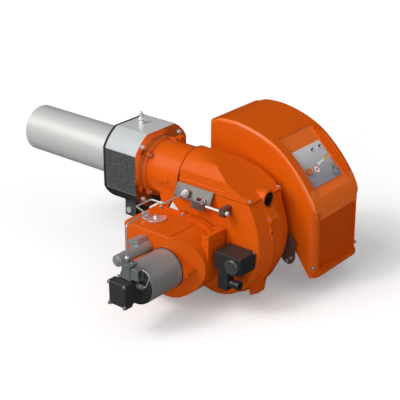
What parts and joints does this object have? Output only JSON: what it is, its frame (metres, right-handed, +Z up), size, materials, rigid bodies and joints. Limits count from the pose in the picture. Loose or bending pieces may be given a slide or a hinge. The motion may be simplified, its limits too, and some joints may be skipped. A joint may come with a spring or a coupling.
{
  "type": "industrial burner",
  "caption": "Forced-draught oil burner: blast tube in a square clamp collar, fan volute with side air box, motor, oil pump and a sloping control cabinet.",
  "frame": {"origin": "centre of the gasket's face against the boiler, on the blast tube's axis", "axes": "+X along the tube into the boiler, +Y towards the motor and pump, +Z up"},
  "size_m": [1.116, 0.868, 0.5206],
  "materials": {
    "orange_enamel": "glossy orange enamel with a light orange-peel surface",
    "bright_casting": "bright machined and polished casting",
    "zinc_plate": "galvanised sheet, satin",
    "bright_steel": "bright plated steel",
    "motor_grey": "satin grey paint",
    "black_casting": "black, semi-matt casting",
    "black_plastic": "black moulded plastic",
    "valve_grey": "dark grey moulded coil",
    "tube_steel": "light satin heat-resisting steel",
    "gasket_fibre": "dark fibre board",
    "panel_grey": "satin grey film",
    "ceramic_white": "glazed ceramic",
    "brass": "machined brass",
    "scaled_steel": "heat-scaled steel"
  },
  "bodies": {
    "coupling": {"boiler_gasket": "gasket_fibre", "coupling_flange": "bright_casting", "ear_clamp_bolt": "bright_steel", "top_set_screw": "bright_steel"},
    "burner": {"blast_tube": "tube_steel", "head_flange": "orange_enamel", "burner_body": "orange_enamel", "upper_cover": "orange_enamel", "intake_box": "orange_enamel", "inlet_ring": "black_plastic", "motor": "motor_grey", "pump_flange": "black_casting", "pump_body": "black_casting", "pump_cover": "black_casting", "pump_side_fitting": "valve_grey", "valve_coil": "valve_grey", "valve_socket": "valve_grey", "capacitor": "motor_grey", "terminal_box": "motor_grey", "oil_pipe": "bright_steel", "lock_screw": "bright_steel", "spindle_bracket": "zinc_plate", "pressure_switch": "black_plastic", "switch_plug": "black_plastic", "cable_gland": "black_plastic", "cabinet_hood": "orange_enamel", "cabinet_base": "orange_enamel", "panel_plate": "panel_grey", "cabinet_bracket_front": "zinc_plate", "cabinet_bracket_rear": "zinc_plate"},
    "rotor": {"motor_shaft": "bright_steel", "fan_wheel": "zinc_plate", "pump_coupling": "black_plastic"},
    "mixing_head": {"regulation_plate": "zinc_plate", "nozzle_line": "bright_steel", "nozzle": "brass", "flame_disc": "scaled_steel", "electrode_left": "ceramic_white", "electrode_right": "ceramic_white"},
    "spindle": {"adjust_spindle": "bright_steel"},
    "damper": {"damper_blade": "zinc_plate", "damper_index": "zinc_plate"},
    "dial": {"switch_dial": "black_plastic"},
    "toggle_a": {"toggle_switch_a": "black_plastic"},
    "toggle_b": {"toggle_switch_b": "black_plastic"},
    "button": {"push_button": "orange_enamel"},
    "selector": {"selector_knob": "panel_grey"}
  },
  "joints": [
    {"name": "head_insertion", "type": "slide", "parent": "coupling", "child": "burner", "axis": [-1, 0, 0], "range_m": [0, 0.15]},
    {"name": "motor_spin", "type": "hinge", "parent": "burner", "child": "rotor", "pos_m": [-0.382, 0, -0.2], "axis": [0, 1, 0], "continuous": true},
    {"name": "head_regulation", "type": "slide", "parent": "burner", "child": "mixing_head", "axis": [-1, 0, 0], "range_m": [0, 0.025]},
    {"name": "spindle_turn", "type": "hinge", "parent": "burner", "child": "spindle", "pos_m": [-0.496, 0.118, -0.027], "axis": [1, 0, 0], "range_deg": [0, 2251]},
    {"name": "damper_turn", "type": "hinge", "parent": "burner", "child": "damper", "pos_m": [-0.27, 0.176, -0.2], "axis": [0, 0, 1], "range_deg": [0, 90]},
    {"name": "dial_turn", "type": "hinge", "parent": "burner", "child": "dial", "pos_m": [-0.574, 0.171, -0.168], "axis": [0, 1, 0], "range_deg": [-135, 135]},
    {"name": "toggle_a_flip", "type": "hinge", "parent": "burner", "child": "toggle_a", "pos_m": [-0.55346, -0.268, 0.07518], "axis": [0, -1, 0], "range_deg": [0, 24]},
    {"name": "toggle_b_flip", "type": "hinge", "parent": "burner", "child": "toggle_b", "pos_m": [-0.55346, -0.311, 0.07518], "axis": [0, -1, 0], "range_deg": [0, 24]},
    {"name": "button_press", "type": "slide", "parent": "burner", "child": "button", "axis": [0.6891, 0, -0.7247], "range_m": [0, 0.003], "stiffness_N_per_m": 400, "springref_m": -0.0015},
    {"name": "selector_turn", "type": "hinge", "parent": "burner", "child": "selector", "pos_m": [-0.61874, -0.305, 0.01323], "axis": [-0.6891, 0, 0.7247], "range_deg": [-45, 45]}
  ],
  "couplings": [
    {"joint": "spindle_turn", "follows": "head_regulation", "rad_per_m": 1570.8}
  ]
}
